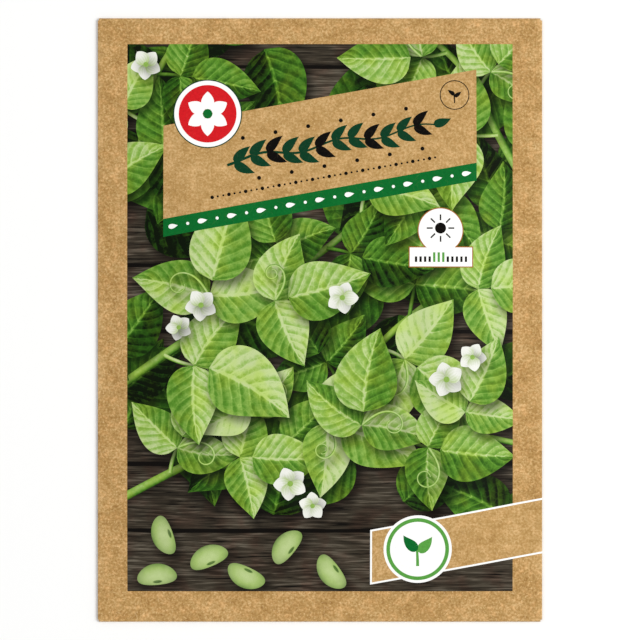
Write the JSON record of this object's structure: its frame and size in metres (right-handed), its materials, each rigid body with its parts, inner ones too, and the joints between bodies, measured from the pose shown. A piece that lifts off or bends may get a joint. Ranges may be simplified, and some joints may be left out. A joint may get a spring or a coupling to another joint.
{
  "type": "seed packet",
  "caption": "Flat sealed paper seed packet folded from a kraft-coloured blank, with a lapped back seam and glued end flaps, holding loose bean seeds.",
  "frame": {"origin": "on the surface under the middle of the packet, which lies on its back", "axes": "+Z out of the printed front, +Y to the packet's top edge, +X to the right as the front is seen"},
  "size_m": [0.12, 0.163, 0.0072],
  "materials": {
    "printed_kraft_paper": "matt brown kraft paper, printed on the front in greens, dark brown, white and red",
    "bean_seed_coat": "smooth cream seed coat with a soft sheen"
  },
  "bodies": {
    "root": {"packet_paper": "printed_kraft_paper", "bean_seed_01": "bean_seed_coat", "bean_seed_02": "bean_seed_coat", "bean_seed_03": "bean_seed_coat", "bean_seed_04": "bean_seed_coat", "bean_seed_05": "bean_seed_coat", "bean_seed_06": "bean_seed_coat", "bean_seed_07": "bean_seed_coat", "bean_seed_08": "bean_seed_coat", "bean_seed_09": "bean_seed_coat", "bean_seed_10": "bean_seed_coat", "bean_seed_11": "bean_seed_coat", "bean_seed_12": "bean_seed_coat", "bean_seed_13": "bean_seed_coat", "bean_seed_14": "bean_seed_coat", "bean_seed_15": "bean_seed_coat", "bean_seed_16": "bean_seed_coat", "bean_seed_17": "bean_seed_coat", "bean_seed_18": "bean_seed_coat", "bean_seed_19": "bean_seed_coat", "bean_seed_20": "bean_seed_coat", "bean_seed_21": "bean_seed_coat", "bean_seed_22": "bean_seed_coat", "bean_seed_23": "bean_seed_coat", "bean_seed_24": "bean_seed_coat", "bean_seed_25": "bean_seed_coat", "bean_seed_26": "bean_seed_coat", "bean_seed_27": "bean_seed_coat", "bean_seed_28": "bean_seed_coat", "bean_seed_29": "bean_seed_coat", "bean_seed_30": "bean_seed_coat", "bean_seed_31": "bean_seed_coat", "bean_seed_32": "bean_seed_coat", "bean_seed_33": "bean_seed_coat", "bean_seed_34": "bean_seed_coat", "bean_seed_35": "bean_seed_coat", "bean_seed_36": "bean_seed_coat", "bean_seed_37": "bean_seed_coat", "bean_seed_38": "bean_seed_coat", "bean_seed_39": "bean_seed_coat", "bean_seed_40": "bean_seed_coat", "bean_seed_41": "bean_seed_coat", "bean_seed_42": "bean_seed_coat", "bean_seed_43": "bean_seed_coat", "bean_seed_44": "bean_seed_coat", "bean_seed_45": "bean_seed_coat"}
  },
  "joints": []
}
